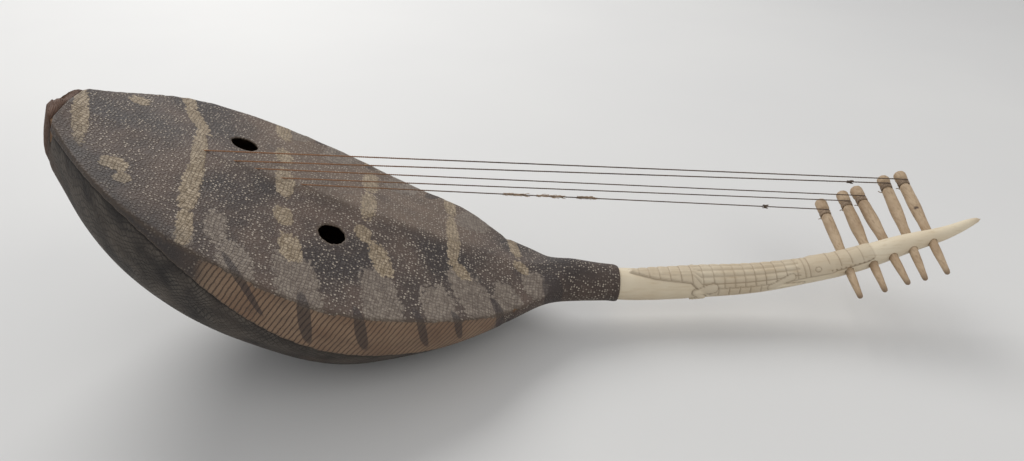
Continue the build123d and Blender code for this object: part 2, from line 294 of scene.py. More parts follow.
def finish_neck():
    """Pale close-grained wood, with grime and painted shade darkening the carving's cuts."""
    wood = Finish("carved_neck", roughness=0.5, specular=0.4)
    place = wood.place()
    x, y, z = wood.parts(place)
    stretched = wood.join(x * 0.12, y, z)
    grain = wood.noise(stretched, 420.0, 4.0)
    cloud = wood.noise(place, 18.0, 3.0)
    colour = wood.blend(cloud.step(0.3, 0.7), (0.68, 0.60, 0.455), (0.60, 0.50, 0.355))
    colour = wood.blend(grain.step(0.50, 0.78) * 0.45, colour, (0.47, 0.36, 0.22))
    # grime, and painted shade, darkening the carving's cuts
    colour = wood.blend(wood.painted("groove") * 0.85, colour, (0.19, 0.125, 0.075))
    colour = wood.blend(wood.painted("tip") * 0.55, colour, (0.42, 0.31, 0.20))
    normal = wood.bump(grain, 0.0003, 0.5)
    return wood.done(colour, normal, 0.42 + grain * 0.22)


def finish_peg_wood():
    """Whittled light brown wood with fine streaks, darker ends and a knot or two."""
    wood = Finish("peg_wood", roughness=0.6, specular=0.35)
    place = wood.place()
    x, y, z = wood.parts(place)
    streak = wood.noise(wood.join(x, y * 0.10 + z * 0.02, z), 900.0, 4.0)
    cloud = wood.noise(place, 55.0, 3.0)
    colour = wood.blend(cloud.step(0.30, 0.72), (0.47, 0.355, 0.235), (0.35, 0.245, 0.15))
    colour = wood.blend(streak.step(0.46, 0.75) * 0.6, colour, (0.215, 0.14, 0.082))
    colour = wood.blend(wood.painted("tip") * 0.6, colour, (0.17, 0.11, 0.07))
    colour = wood.blend(wood.painted("knot"), colour, (0.075, 0.045, 0.030))
    normal = wood.bump(streak, 0.0003, 0.6)
    return wood.done(colour, normal, 0.50 + streak * 0.25)


def finish_bowl_wood():
    """Plain brown wood of the bowl, the rib and the toggles."""
    wood = Finish("bowl_wood", roughness=0.75, specular=0.3)
    x, y, z = wood.parts(wood.place())
    rings = wood.noise(wood.join(x * 0.15, y, z), 160.0, 4.0)
    pores = wood.noise(wood.join(x * 0.05, y, z), 1400.0, 2.0)
    colour = wood.blend(rings.step(0.35, 0.68), (0.22, 0.13, 0.07), (0.12, 0.066, 0.036))
    colour = wood.blend(pores.step(0.58, 0.75) * 0.5, colour, (0.06, 0.034, 0.02))
    return wood.done(colour, wood.bump(pores, 0.0003, 0.5), 0.66 + rings * 0.2)


def finish_fibre(name, dark, light):
    """Twisted plant fibre."""
    fibre = Finish(name, roughness=0.8, specular=0.25)
    place = fibre.place()
    hair = fibre.noise(place, 2600.0, 3.0)
    stain = fibre.noise(place, 60.0, 2.0)
    colour = fibre.blend(hair.step(0.30, 0.70), dark, light)
    colour = fibre.blend(stain.step(0.45, 0.75) * 0.5, colour, tuple(share * 0.45 for share in dark))
    near_hide = fibre.parts(place)[0].step(-0.05, -0.19)
    colour = fibre.blend(near_hide * 0.75, colour, (0.34, 0.17, 0.085))
    return fibre.done(colour, fibre.bump(hair, 0.0002, 0.8))


# ---- mesh helpers ----
def deselect():
    if bpy.context.object and bpy.context.object.mode != "OBJECT":
        bpy.ops.object.mode_set(mode="OBJECT")
    bpy.ops.object.select_all(action="DESELECT")


def take(piece):
    deselect()
    piece.select_set(True)
    bpy.context.view_layer.objects.active = piece


def add_sheet(name, rows, coordinates):
    """Grid primitive whose points are laid on rows of places, with its own flat coordinates."""
    deselect()
    bpy.ops.mesh.primitive_grid_add(x_subdivisions=len(rows[0]) - 1, y_subdivisions=len(rows) - 1, size=1)
    piece = bpy.context.object
    piece.name = name
    mesh = piece.data
    for index, point in enumerate(point for row in rows for point in row):
        mesh.vertices[index].co = point
    flat = [pair for row in coordinates for pair in row]
    layer = mesh.uv_layers[0].data
    for loop in mesh.loops:
        layer[loop.index].uv = flat[loop.vertex_index]
    mesh.update()
    return piece


def paint(piece, name, values):
    """A painted value at each point, for a material to read."""
    layer = piece.data.attributes.new(name, "FLOAT", "POINT")
    for index, value in enumerate(values):
        layer.data[index].value = value


def smooth_shade(piece):
    take(piece)
    bpy.ops.object.shade_smooth()


def finish_mesh(piece, thickness=0.0, weld=0.0):
    """Weld the seams, turn the faces outwards and give a sheet its wall."""
    take(piece)
    bpy.ops.object.mode_set(mode="EDIT")
    bpy.ops.mesh.select_all(action="SELECT")
    if weld:
        bpy.ops.mesh.remove_doubles(threshold=weld)
    bpy.ops.mesh.normals_make_consistent(inside=False)
    bpy.ops.object.mode_set(mode="OBJECT")
    if thickness:
        wall = piece.modifiers.new("wall", "SOLIDIFY")
        wall.thickness, wall.offset, wall.use_even_offset = thickness, -1, False
        bpy.ops.object.modifier_apply(modifier=wall.name)
    smooth_shade(piece)


def soften(piece):
    """Ease the small steps that rays and cut edges leave in a hide."""
    take(piece)
    ease = piece.modifiers.new("ease", "SMOOTH")
    ease.factor, ease.iterations = 0.5, 3
    bpy.ops.object.modifier_apply(modifier=ease.name)


def round_axis(first, second, angle):
    """Unit vector at an angle round an axis, from two vectors across it."""
    return first * math.cos(angle) + second * math.sin(angle)


def give(piece, material, body, slot, *nodes):
    """Finish a piece, fix it to its body and hide the CAD nodes that it stands for."""
    piece.data.materials.clear()
    piece.data.materials.append(material)
    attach(piece, body)
    if nodes:
        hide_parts(*nodes)


def add_tube(name, lines, radius):
    """Mesh of round strands along lines of points."""
    curve = bpy.data.curves.new(name, "CURVE")
    curve.dimensions, curve.bevel_depth, curve.bevel_resolution = "3D", radius, 1
    curve.use_fill_caps = True
    for line in lines:
        spline = curve.splines.new("POLY")
        spline.points.add(len(line) - 1)
        for knot, point in zip(spline.points, line):
            knot.co = (*point, 1)
    piece = bpy.data.objects.new(name, curve)
    scene.collection.objects.link(piece)
    take(piece)
    bpy.ops.object.convert(target="MESH")
    piece = bpy.context.object
    bpy.ops.object.shade_smooth()
    return piece


def between(share, low, high):
    """0 at low, 1 at high, smooth between them."""
    share = min(max((share - low) / (high - low), 0.0), 1.0)
    return share * share * (3 - 2 * share)


# ---- the hides: sheets wrapped on the outside of the bowl, ring by ring ----
# places along the ridge, the middle of the bowl over the ridge line, and the ring's tilt
RING_MIDDLES = [(-12, -18, 24), (0, -21, 24), (60, -28, 24), (140, -38, 24), (240, -42, 24),
                (330, -30, 24), (385, -12, 24), (411, 0, 17), (428, 6, 11), (442, 11, 6), (456.3, 14.9, 4)]
THROAT_FIRST, THROAT_END = 385.0, 456.3
TOP_TAIL, BELLY_TAIL = -2.0, -9.4            # where each hide's outline starts, along the ridge
SKIN = 1.5                                   # thickness of the hides
SOUND_HOLES = [(120.0, 41.0), (206.1, -41.0)]  # places along the ridge and out from it
HOLE_RADIUS = 10.4
TOP_ROWS, TOP_COLUMNS = 219, 151
BELLY_ROWS, BELLY_COLUMNS = 181, 141
BELLY_END = 372.0                            # where the belly hide stops under the throat
TUCK = 4.0                                   # of the belly hide under the edge of the other
TAIL_CAP = [0.03, 0.35, 0.62, 0.84, 0.96]    # rings of the closed tail, in shares of its outline
OFF_TABLE = 0.1                              # least height of the belly hide
RAYS = 360                                   # cast round each ring


def ring_middle(along):
    """Middle of a ring and the direction up its plane."""
    for (a0, h0, t0), (a1, h1, t1) in zip(RING_MIDDLES, RING_MIDDLES[1:]):
        if along <= a1:
            break
    share = (along - a0) / (a1 - a0)
    height, tilt = h0 + (h1 - h0) * share, math.radians(t0 + (t1 - t0) * share)
    slope = math.radians(BODY_TILT)
    place = RIDGE_START + Vector((along * math.cos(slope) + height * math.sin(slope), 0,
                                  -along * math.sin(slope) + height * math.cos(slope))) * MM
    return place, Vector((math.sin(tilt), 0, math.cos(tilt)))


def copy_tree(*names):
    """One search tree for each CAD hide."""
    trees = []
    for name in names:
        mesh = frame["nodes"][name].data
        trees.append(BVHTree.FromPolygons([v.co.copy() for v in mesh.vertices],
                                          [tuple(p.vertices) for p in mesh.polygons]))
    return trees


hide_trees = copy_tree("soundboard_skin", "belly_skin")


class Ring:
    """The outside of the hides round one ring: points, lengths from the ridge, rim and seam."""

    def __init__(self, along):
        middle, upright = ring_middle(along)
        reach = 0.17
        self.sides = []
        for side in (1, -1):
            points, on_top = [], []
            for step in range(RAYS // 2 + 1):
                angle = math.pi * step / (RAYS // 2)
                outwards = upright * math.cos(angle) + SIDE * math.sin(angle) * side
                hits = [tree.ray_cast(middle + outwards * reach, -outwards, reach) for tree in hide_trees]
                far = [reach if hit[0] is None else hit[3] for hit in hits]
                if min(far) >= reach:
                    continue
                points.append(middle + outwards * (reach - min(far)))
                on_top.append(far[0] <= far[1])
            lengths = [0.0]
            for first, second in zip(points, points[1:]):
                lengths.append(lengths[-1] + (second - first).length / MM)
            seam = next((length for length, top in zip(lengths, on_top) if not top), lengths[-1])
            widest = max(range(len(points)), key=lambda index: abs(points[index].y))
            self.sides.append((points, lengths, seam, lengths[widest]))
        self.middle, self.upright = middle, upright

    def at(self, girth):
        """Point at a signed length from the ridge, far side first."""
        points, lengths, _, _ = self.sides[0 if girth >= 0 else 1]
        girth = min(abs(girth), lengths[-1])
        low, high = 0, len(lengths) - 1
        while high - low > 1:
            half = (low + high) // 2
            low, high = (half, high) if lengths[half] <= girth else (low, half)
        share = (girth - lengths[low]) / max(lengths[high] - lengths[low], 1e-9)
        return points[low].lerp(points[high], share)


def outward(ring, point):
    """Direction from a ring's middle to a point on it."""
    return (point - ring.middle).normalized()


# bands and patches of pale scales: middle along and round the skin, half sizes, and slant
BANDS = [(10, -4, 6, 38, -0.36), (62, 84, 7, 18, -0.5), (79, 52, 7, 22, -0.6), (93, 4, 6, 34, -0.2),
         (101, -44, 7, 30, -0.15), (110, -88, 6, 18, -0.2), (144, 98, 8, 18, -0.2), (152, 48, 8, 14, -0.15),
         (160, 2, 8, 22, -0.2), (168, -40, 8, 10, -0.2), (180, -70, 9, 14, -0.3), (229, 118, 9, 12, 0),
         (229, 68, 8, 24, 0), (229, 14, 7, 26, 0), (229, -28, 7, 9, -0.2), (247, -50, 9, 16, -0.4),
         (306, 80, 6, 24, 0), (305, 10, 6, 40, 0), (313, -34, 7, 9, -0.5), (366, 30, 5, 24, 0),
         (367, -6, 6, 8, -0.4), (50, -50, 9, 8, 0), (60, -62, 6, 6, 0), (35, 48, 8, 8, 0)]
FLANKS = [(150, -108, 13, 22, -0.3), (194, -106, 17, 34, -0.35), (254, -94, 16, 32, -0.3),
          (299, -82, 15, 24, -0.25), (324, -58, 18, 26, -0.4), (356, -50, 13, 20, -0.2),
          (380, -26, 11, 16, -0.3), (128, -78, 8, 16, -0.2), (112, -96, 7, 14, -0.2),
          (156, 112, 13, 20, 0.3), (200, 108, 16, 30, 0.3), (262, 96, 16, 30, 0.3), (330, 62, 16, 26, 0.3)]
STRIPES = [(158, -120, 4, 22, -0.9), (205, -132, 5, 22, -0.4), (245, -124, 5, 20, -0.5),
           (290, -108, 4, 18, -0.6), (316, -94, 4, 14, -0.6), (350, -68, 5, 16, -0.5),
           (190, 132, 7, 24, 0.7), (240, 128, 8, 26, 0.6), (296, 104, 8, 24, 0.5), (398, -34, 10, 20, -0.3)]


def patch_share(along, girth, patches):
    """1 inside a patch, 0.5 on its outline, 0 well outside."""
    best = 0.0
    for middle, height, half, reach, slant in patches:
        across = (along - middle - slant * (girth - height)) / half
        down = (girth - height) / reach
        if abs(down) < 1.6 and abs(across) < 2.4:
            best = max(best, 1.0 - 0.5 * (abs(across) ** 2.4 + abs(down) ** 2.4))
    return max(best, 0.0)


def uneven(along, girth, scale, seed=0.0):
    """Slow, even-handed wandering over a hide, about -0.5 to 0.5."""
    return noise.noise(Vector((along / scale, girth / scale, seed)))


def make_top_hide(material):
    """Upper hide: beaded, banded, puckered at the rim, and drawn round the neck as a sleeve."""
    count, width = TOP_ROWS, TOP_COLUMNS
    rows, flats, paints = [], [], {key: [] for key in
                                ("band", "flank", "scutes", "stripe", "warm", "shade", "edge")}
    for number in range(count):
        along = TOP_TAIL + (THROAT_END - TOP_TAIL) * number / (count - 1)
        ring = Ring(along)
        ends = [side[2] for side in ring.sides]
        throat = between(along, THROAT_FIRST - 30, THROAT_FIRST + 10)
        row, flat = [], []
        for column in range(width):
            share = 1 - 2 * column / (width - 1)
            girth = share * (ends[0] if share >= 0 else ends[1])
            point = ring.at(girth)
            end, rim = (ends[0], ring.sides[0][3]) if share >= 0 else (ends[1], ring.sides[1][3])
            to_edge = min(end - abs(girth) if end < ring.sides[0][1][-1] - 0.5 else 99, along - TOP_TAIL)
            from_rim = abs(girth) - rim
            lift = 0.55 * (1 - between(to_edge, 0.5, 7.0))
            lift += 0.45 * uneven(along, girth, 34) * between(to_edge, 0, 12)
            pucker = math.exp(-(from_rim / 2.2) ** 2) * (1 - throat)
            lift += pucker * (0.35 * math.sin(along * 1.05 + 2 * uneven(along, 0, 20, 5.0)) - 0.15)
            lift -= 0.5 * math.exp(-(from_rim - 7) ** 2 / 30) * (1 - throat)
            lift += 0.5 * between(along, THROAT_END - 7, THROAT_END - 3) * (1 - between(
                along, THROAT_END - 2.5, THROAT_END))
            row.append(point + outward(ring, point) * lift * MM)
            flat.append((along * MM, girth * MM))
            paints["band"].append(patch_share(along, girth, BANDS))
            paints["flank"].append(patch_share(along, girth, FLANKS) * (1 - between(from_rim, -1, 3)))
            paints["scutes"].append(between(from_rim, -1.5, 2.5) * (1 - between(along, 330, 372))
                                    * between(along, 108, 150))
            paints["stripe"].append(patch_share(along, girth, STRIPES))
            # painted light: lighter warm brown on the far, lit slope of the ridge, over the middle of the
            # bowl
            warm = between(girth, -14, 8) * between(along, 100, 150) * (1 - between(along, 300, 350))
            paints["warm"].append(warm * (0.75 + 0.5 * uneven(along, girth, 30, 3.0)))
            shade = (1 - between(ends[1] + girth, 6, 40)) * (1 - between(along, 100, 165))
            paints["shade"].append(shade * (0.8 + 0.6 * uneven(along, girth, 14, 6.0)) if girth < 0 else 0.0)
            worn = 0.6 * pucker + 0.9 * (1 - between(to_edge, 0.0, 2.2))
            worn += between(along, THROAT_END - 3, THROAT_END) * 0.5
            paints["edge"].append(min(worn, 1.0))
        rows.append(row)
        flats.append(flat)
    piece = add_sheet("soundboard_hide", rows, flats)
    for key, values in paints.items():
        paint(piece, key, values)
    cut_sound_holes(piece)
    finish_mesh(piece, weld=0.0002)
    soften(piece)
    finish_mesh(piece, SKIN * MM)
    give(piece, material, "harp", "lizard_skin", "soundboard_skin")


def cut_sound_holes(piece):
    """Open each sound hole, round its edge off the grid, and raise a thin lip round it."""
    slope = math.radians(BODY_TILT)
    along_ridge = Vector((math.cos(slope), 0, -math.sin(slope)))
    above = Vector((math.sin(slope), 0, math.cos(slope)))
    solid = bmesh.new()
    solid.from_mesh(piece.data)
    worn = solid.verts.layers.float["edge"]
    for along, side in SOUND_HOLES:
        middle = RIDGE_START + (along_ridge * along + SIDE * side) * MM

        def from_axis(point):
            return point - middle - above * (point - middle).dot(above)

        inner = [face for face in solid.faces if abs(face.normal.dot(above)) > 0.3
                 and all(from_axis(vert.co).length < (HOLE_RADIUS + 0.6) * MM for vert in face.verts)]
        rim = {vert for face in inner for vert in face.verts}
        bmesh.ops.delete(solid, geom=inner, context="FACES")
        rim = [vert for vert in rim if vert.is_valid]
        for vert in rim:
            arm = from_axis(vert.co)
            vert.co += arm.normalized() * HOLE_RADIUS * MM - arm
        for vert in solid.verts:
            arm = from_axis(vert.co).length / MM
            if arm < HOLE_RADIUS + 6:
                vert.co += above * 0.5 * MM * math.exp(-((arm - HOLE_RADIUS - 1.0) / 2.0) ** 2)
                vert[worn] = max(vert[worn], 1 - between(arm, HOLE_RADIUS, HOLE_RADIUS + 1.6))
    solid.to_mesh(piece.data)
    solid.free()


def make_belly_hide(material):
    """Lower hide: round the tail and the belly, its edge tucked under the soundboard's hide."""
    width = BELLY_COLUMNS
    places = [BELLY_TAIL + (BELLY_END - BELLY_TAIL) * number / (BELLY_ROWS - 1)
              for number in range(BELLY_ROWS)]
    rows, flats, edges, rusts = [], [], [], []
    outline = None
    for along in places:
        ring = Ring(along)
        spans = []
        for _, lengths, seam, _ in ring.sides:
            seam = 0.0 if along < TOP_TAIL + TUCK else min(seam - TUCK, lengths[-1] - 3.0)
            spans.append((seam, lengths[-1]))
        row, flat = [], []
        for column in range(width):
            share = 1 - 2 * column / (width - 1)
            start, end = spans[0] if share >= 0 else spans[1]
            girth = end - (end - start) * abs(share)
            past_seam = girth - start - TUCK if start > 0 else 9.0
            if along >= TOP_TAIL and start == 0.0:
                past_seam = -TUCK
            point = ring.at(math.copysign(girth, share if share else 1))
            sink = 1.1 * (1 - between(past_seam, -1.5, 1.2))
            sink -= 0.35 * uneven(along, math.copysign(girth, share), 30, 8.0)
            row.append(point - outward(ring, point) * sink * MM)
            flat.append((along * MM, math.copysign(end - girth, share) * MM))
            edges.append(1 - between(past_seam, 0.3, 2.4))
            rusts.append(1 - between(along, -4, 6))
        rows.append(row)
        flats.append(flat)
        if outline is None:
            outline = row, flat
    middle = sum((point for point in outline[0]), Vector()) / width
    end_rows = []
    for share in TAIL_CAP:
        bulge = 2.6 * (1 - share * share) * MM
        end_rows.append([middle.lerp(point, share) - Vector((bulge, 0, 0)) for point in outline[0]])
    rows = end_rows + rows
    flats = [outline[1]] * len(TAIL_CAP) + flats
    piece = add_sheet("belly_hide", rows, flats)
    paint(piece, "edge", [0.0] * width * len(TAIL_CAP) + edges)
    paint(piece, "rust", [1.0] * width * len(TAIL_CAP) + rusts)
    finish_mesh(piece, weld=0.0004)
    soften(piece)
    for vertex in piece.data.vertices:
        vertex.co.z = max(vertex.co.z, OFF_TABLE * MM)
    finish_mesh(piece, SKIN * MM)
    give(piece, material, "harp", "belly_hide", "belly_skin")


# ---- the neck, with a crocodile in relief ----
NECK_START, NECK_END = 0.0635, 0.3825
FOOT_REACH, SHOULDER_REACH = 66.0, 26.0
FOOT_RADIUS = 11.0
NECK_ROWS, NECK_COLUMNS = 430, 96


class NeckLine:
    """Middle and radius of the neck, measured on its CAD solid from above and below."""

    def __init__(self):
        tree = copy_tree("neck")[0]
        self.rows = []
        for number in range(121):
            x = NECK_START + 0.0015 + (NECK_END - 0.0025 - NECK_START) * number / 120
            top = tree.ray_cast(Vector((x, 0, 0.3)), Vector((0, 0, -1)))[0]
            low = tree.ray_cast(Vector((x, 0, -0.1)), Vector((0, 0, 1)))[0]
            self.rows.append((x, (top.z + low.z) / 2, (top.z - low.z) / 2))

    def at(self, x):
        """Height of the middle, its slope and the radius at a place along the harp."""
        step = self.rows[1][0] - self.rows[0][0]
        place = min(max((x - self.rows[0][0]) / step, 0.0), len(self.rows) - 1.001)
        low = int(place)
        (_, z0, r0), (_, z1, r1) = self.rows[low], self.rows[low + 1]
        share = place - low
        slope = (z1 - z0) / step
        past_end = x - self.rows[0][0] - place * step
        return z0 + (z1 - z0) * share + past_end * slope, slope, r0 + (r1 - r0) * share


# crocodile, in shares of the neck's length and degrees from its spine
TAIL_TIP, TAIL_ROOT, BODY_END, NOSE = 0.03, 0.205, 0.515, 0.72
OUTLINE = [(0.00, 0), (0.03, 9), (0.10, 34), (0.20, 55), (0.22, 80), (0.27, 120), (0.42, 118), (0.465, 86),
           (0.53, 82), (0.60, 84), (0.615, 78), (0.70, 74), (0.72, 62), (1.0, 60)]
BELLY_LINE = 82.0
SCUTE = 0.030                                 # length of a row of scutes
RIDGES = [0.0, 27.0, 52.0]                    # raised keels along the back
SEAMS = [13.0, 39.0, 64.0]                    # cuts between the rows
EYE = (0.563, 54.0)                           # share and degrees
# joints of the hind and the front leg: share, degrees and radius in mm
LEGS = [[(0.262, 80, 4.4), (0.216, 96, 3.4), (0.240, 126, 2.4), (0.208, 141, 1.7)],
        [(0.488, 66, 3.2), (0.428, 97, 2.7), (0.476, 103, 2.0), (0.520, 111, 1.5)]]
NECK_LENGTH, DEGREE = 319.0, 0.245            # in mm, along the neck and round it


def half_turn(share):
    """How far down each side the crocodile reaches."""
    for (s0, t0), (s1, t1) in zip(OUTLINE, OUTLINE[1:]):
        if share <= s1:
            return t0 + (t1 - t0) * (share - s0) / (s1 - s0)
    return OUTLINE[-1][1]


def groove(value, width):
    """1 on a line at each whole number, falling to 0 within a width."""
    return 1 - between(abs(value - round(value)), 0.0, width)


def hump(distance, width):
    """1 at no distance, falling off smoothly both ways."""
    return math.exp(-(distance / width) ** 2)


def limb_reach(share, side, joints):
    """How far a place is outside a bent leg, in mm; less than 0 is on it."""
    best = 9.0
    for (s0, t0, r0), (s1, t1, r1) in zip(joints, joints[1:]):
        run = Vector(((s1 - s0) * NECK_LENGTH, (t1 - t0) * DEGREE))
        here = Vector(((share - s0) * NECK_LENGTH, (side - t0) * DEGREE))
        part = min(max(here.dot(run) / run.length_squared, 0.0), 1.0)
        best = min(best, (here - run * part).length - (r0 + (r1 - r0) * part))
    return best


def croc_relief(share, turn):
    """Height of the carving in mm, and how dark its cuts are painted: grime, and painted shade in the cuts.
    """
    side = abs(turn)
    if share < TAIL_TIP - 0.01 or share > NOSE + 0.02:
        return 0.0, 0.0
    half = half_turn(share)
    inside = (1 - between(side, half - 3, half + 1)) * between(share, TAIL_TIP - 0.006, TAIL_TIP + 0.006)
    inside *= 1 - between(share, NOSE - 0.004, NOSE + 0.006)
    edge = hump(side - half - 2, 3.0) * between(share, TAIL_TIP - 0.005, TAIL_TIP) * (1 - between(
        share, NOSE - 0.005, NOSE))
    height, grime_and_shade = 1.15 * inside - 0.35 * edge, 0.75 * edge
    row = (share - TAIL_ROOT) / SCUTE
    on_body = between(share, TAIL_ROOT, TAIL_ROOT + 0.03)
    if share < BODY_END:
        narrow = 0.45 + 0.55 * on_body if half > 50 else 0.45 * half / 50
        keel = max(hump(side - ridge * narrow, 5.0) for ridge in RIDGES)
        seam = max(hump(side - line * narrow, 2.6) for line in SEAMS)
        across = groove(row + (0.5 if side > BELLY_LINE else 0.0), 0.10)
        zigzag = hump(side - BELLY_LINE - 4.5 * (2 * abs(row % 1.0 - 0.5) - 0.5), 2.6) * between(
            share, 0.25, 0.27) * (1 - between(share, 0.42, 0.44))
        line = min(max(seam * (0.5 + 0.5 * on_body), across, zigzag), 1.0) * inside
        above = 1 - between(side, BELLY_LINE - 4, BELLY_LINE + 4)
        height += inside * 0.45 * keel * above - 0.75 * line
        height += inside * 0.35 * hump((row % 1.0) - 0.35, 0.35) * above
        grime_and_shade += line * 0.75
    elif share < 0.548:
        ring = max(groove((share - 0.5275) / 0.5, 0.006), groove((share - 0.541) / 0.5, 0.006)) * inside
        height += 0.25 * inside - 0.7 * ring
        grime_and_shade += ring * 0.8
    else:
        snout = between(share, 0.600, 0.612)
        cut = groove((share - 0.597) / SCUTE, 0.07) * (1 - between(side, 60, 66)) * inside
        cut *= between(share, 0.566, 0.57) * (1 - hump(side - EYE[1], 12) * (1 - snout))
        reach = math.hypot((share - EYE[0]) * NECK_LENGTH, (side - EYE[1]) * DEGREE)
        ring = hump(reach - 2.5, 0.45)
        height += inside * 0.5 * (1 - snout) + 0.7 * hump(reach, 3.0) - 0.6 * cut - 0.5 * ring
        grime_and_shade += 0.75 * cut + 0.9 * ring
        teeth = between(share, 0.588, 0.594) * (1 - between(share, 0.712, 0.716))
        tooth = hump(side - 71, 3.2) * teeth * groove((share - 0.6) / 0.0125, 0.34)
        mouth = hump(side - 76.5, 1.8) * between(share, 0.55, 0.57) * (1 - between(share, 0.70, 0.715))
        height -= 0.9 * tooth + 0.4 * mouth
        grime_and_shade += 1.0 * tooth + 0.5 * mouth
    for joints_of_leg in LEGS:
        reach = limb_reach(share, side, joints_of_leg)
        if reach < 2.0:
            on_leg = 1 - between(reach, -0.9, 0.1)
            toes = groove(share / 0.008, 0.22) * between(side, joints_of_leg[-1][1] - 9, joints_of_leg[-1][1])
            height = height * (1 - on_leg) + (1.25 + 0.45 * between(-reach, 0.8, 3.0) - 0.5 * toes) * on_leg
            around = hump(reach - 0.45, 0.5)
            height -= 0.55 * around
            grime_and_shade = max(grime_and_shade * (1 - on_leg), 0.85 * around, 0.6 * toes * on_leg)
    return height, min(max(grime_and_shade, 0.24 * inside), 1.0)


def make_neck(material):
    """Foot in the bowl, shoulder under the sleeve and the long arch with its carving."""
    line = NeckLine()
    count, width = NECK_ROWS, NECK_COLUMNS
    start_height, start_slope, start_radius = line.at(NECK_START)
    rows, grooves, tips = [], [], []
    inner = [(-FOOT_REACH, 0.02), (-FOOT_REACH, FOOT_RADIUS * 0.9), (-FOOT_REACH + 1, FOOT_RADIUS),
             (-SHOULDER_REACH - 8, FOOT_RADIUS), (-SHOULDER_REACH, FOOT_RADIUS),
             (-SHOULDER_REACH, 13.6), (-SHOULDER_REACH + 4, 13.8), (-8, start_radius / MM - 0.2)]
    sections = [(NECK_START + back * MM, radius * MM, None) for back, radius in inner]
    for number in range(count):
        share = number / (count - 1)
        sections.append((NECK_START + (NECK_END - NECK_START) * share, None, share))
    for x, radius, share in sections:
        if share is None:
            height, slope = start_height + (x - NECK_START) * start_slope, start_slope
        else:
            height, slope, radius = line.at(x)
            radius *= 1 - 0.75 * between(share, 0.992, 1.0)
        heading = Vector((1, 0, slope)).normalized()
        upright = Vector((-heading.z, 0, heading.x))
        middle = Vector((x, 0, height))
        for column in range(width + 1):
            turn = 180 - 360 * column / width
            rise, grime_and_shade = (0.0, 0.0) if share is None else croc_relief(share, turn)
            fade = 1.0 if share is None else 1 - 0.6 * between(share, 0.6, 1.0)
            wobble = 0.0 if share is None else 0.18 * uneven(x / MM, turn * 0.25, 12, 2.0)
            reach = radius + (rise * fade + wobble) * MM
            angle = math.radians(turn)
            rows.append(middle + (upright * math.cos(angle) + SIDE * math.sin(angle)) * reach)
            grooves.append(grime_and_shade)
            tips.append(0.0 if share is None else between(share, 0.965, 1.0))
    width += 1
    lines = [rows[first:first + width] for first in range(0, len(rows), width)]
    flats = [[(point.x, column / width) for column, point in enumerate(row)] for row in lines]
    piece = add_sheet("neck_carving", lines, flats)
    # darkening of the carving's cuts: grime and painted shade
    paint(piece, "groove", grooves)
    paint(piece, "tip", tips)
    close_ends(piece, width, len(lines))
    finish_mesh(piece, weld=0.00004)
    bore_peg_holes(piece)
    smooth_shade(piece)
    give(piece, material, "harp", "carved_neck", "neck")


def close_ends(piece, width, count):
    """Fill the first and the last ring of a tube made from a sheet."""
    solid = bmesh.new()
    solid.from_mesh(piece.data)
    solid.verts.ensure_lookup_table()
    for first in (0, (count - 1) * width):
        solid.faces.new([solid.verts[first + column] for column in range(width - 1)])
    solid.to_mesh(piece.data)
    solid.free()


def peg_line(number):
    """Middle of the neck and direction to the head, for one peg."""
    joint = joints[f"tuning_peg_{number}"]
    return Vector(joint["pos_m"]), Vector(joint["axis"]).normalized()


def bore_peg_holes(piece):
    cutters = []
    for number in STRINGS:
        middle, towards = peg_line(number)
        deselect()
        bpy.ops.mesh.primitive_cone_add(vertices=32, radius1=3.85 * MM, radius2=4.4 * MM, depth=50 * MM,
                                        location=middle, rotation=towards.to_track_quat("Z", "Y").to_euler())
        cutters.append(bpy.context.object)
    deselect()
    for cutter in cutters:
        cutter.select_set(True)
    bpy.context.view_layer.objects.active = cutters[0]
    bpy.ops.object.join()
    cutter = bpy.context.object
    take(piece)
    bore = piece.modifiers.new("bore", "BOOLEAN")
    bore.operation, bore.object, bore.solver = "DIFFERENCE", cutter, "EXACT"
    bpy.ops.object.modifier_apply(modifier=bore.name)
    bpy.data.objects.remove(cutter, do_unlink=True)


# ---- pegs, windings and strings ----
PEG_TIP, PEG_HEAD = -42.0, 82.0
WINDING_INSETS = [19.0, 18.0, 18.0, 14.0, 15.0]
WAIST_RADIUS, SHANK_RADIUS, SHANK_TAPER, HEAD_RADIUS = 4.1, 4.3, 0.012, 5.6
PEG_SIDES = 24
PEG_RINGS = 110
KNOT_PLACE = 32.0                             # of the knot in the last peg
PEG_BELLIES = [0.25, 0.85, 0.75, 0.75, 0.45]     # how much each shank swells halfway up
STRING_RADIUS = 0.6                           # of a string's CAD rod
PLY_REACH, PLY_PITCH = 0.29, 3.4              # of a string's two plies
THREAD_RADIUS = 0.44                          # of the turns round a peg


def peg_frame(towards):
    across = towards.cross(Vector((1, 0, 0))).normalized()
    return across, across.cross(towards).normalized()


def peg_radius(place, waist, belly):
    """Radius of a peg at a place along it, before the knife marks."""
    radius = SHANK_RADIUS + SHANK_TAPER * place
    radius += belly * math.exp(-((place - 38) / 15) ** 2) - 1.05 * between(place, -14, PEG_TIP)
    radius -= 0.35 * (1 - between(place, 16, 34))
    to_waist = abs(place - waist)
    radius += (WAIST_RADIUS - radius) * (1 - between(to_waist, 3.2, 5.2))
    if place > waist:
        radius += (HEAD_RADIUS - SHANK_RADIUS - 0.9) * between(place, waist + 3.0, waist + 7.0)
    ends = min(place - PEG_TIP, PEG_HEAD - place)
    if place > 0:
        return radius * math.sqrt(max(1 - (1 - min(ends / 4.2, 1.0)) ** 2, 0.004))
    return radius * (0.60 + 0.40 * math.sqrt(min(ends / 3.2, 1.0))) * (0.5 if ends <= 0 else 1.0)


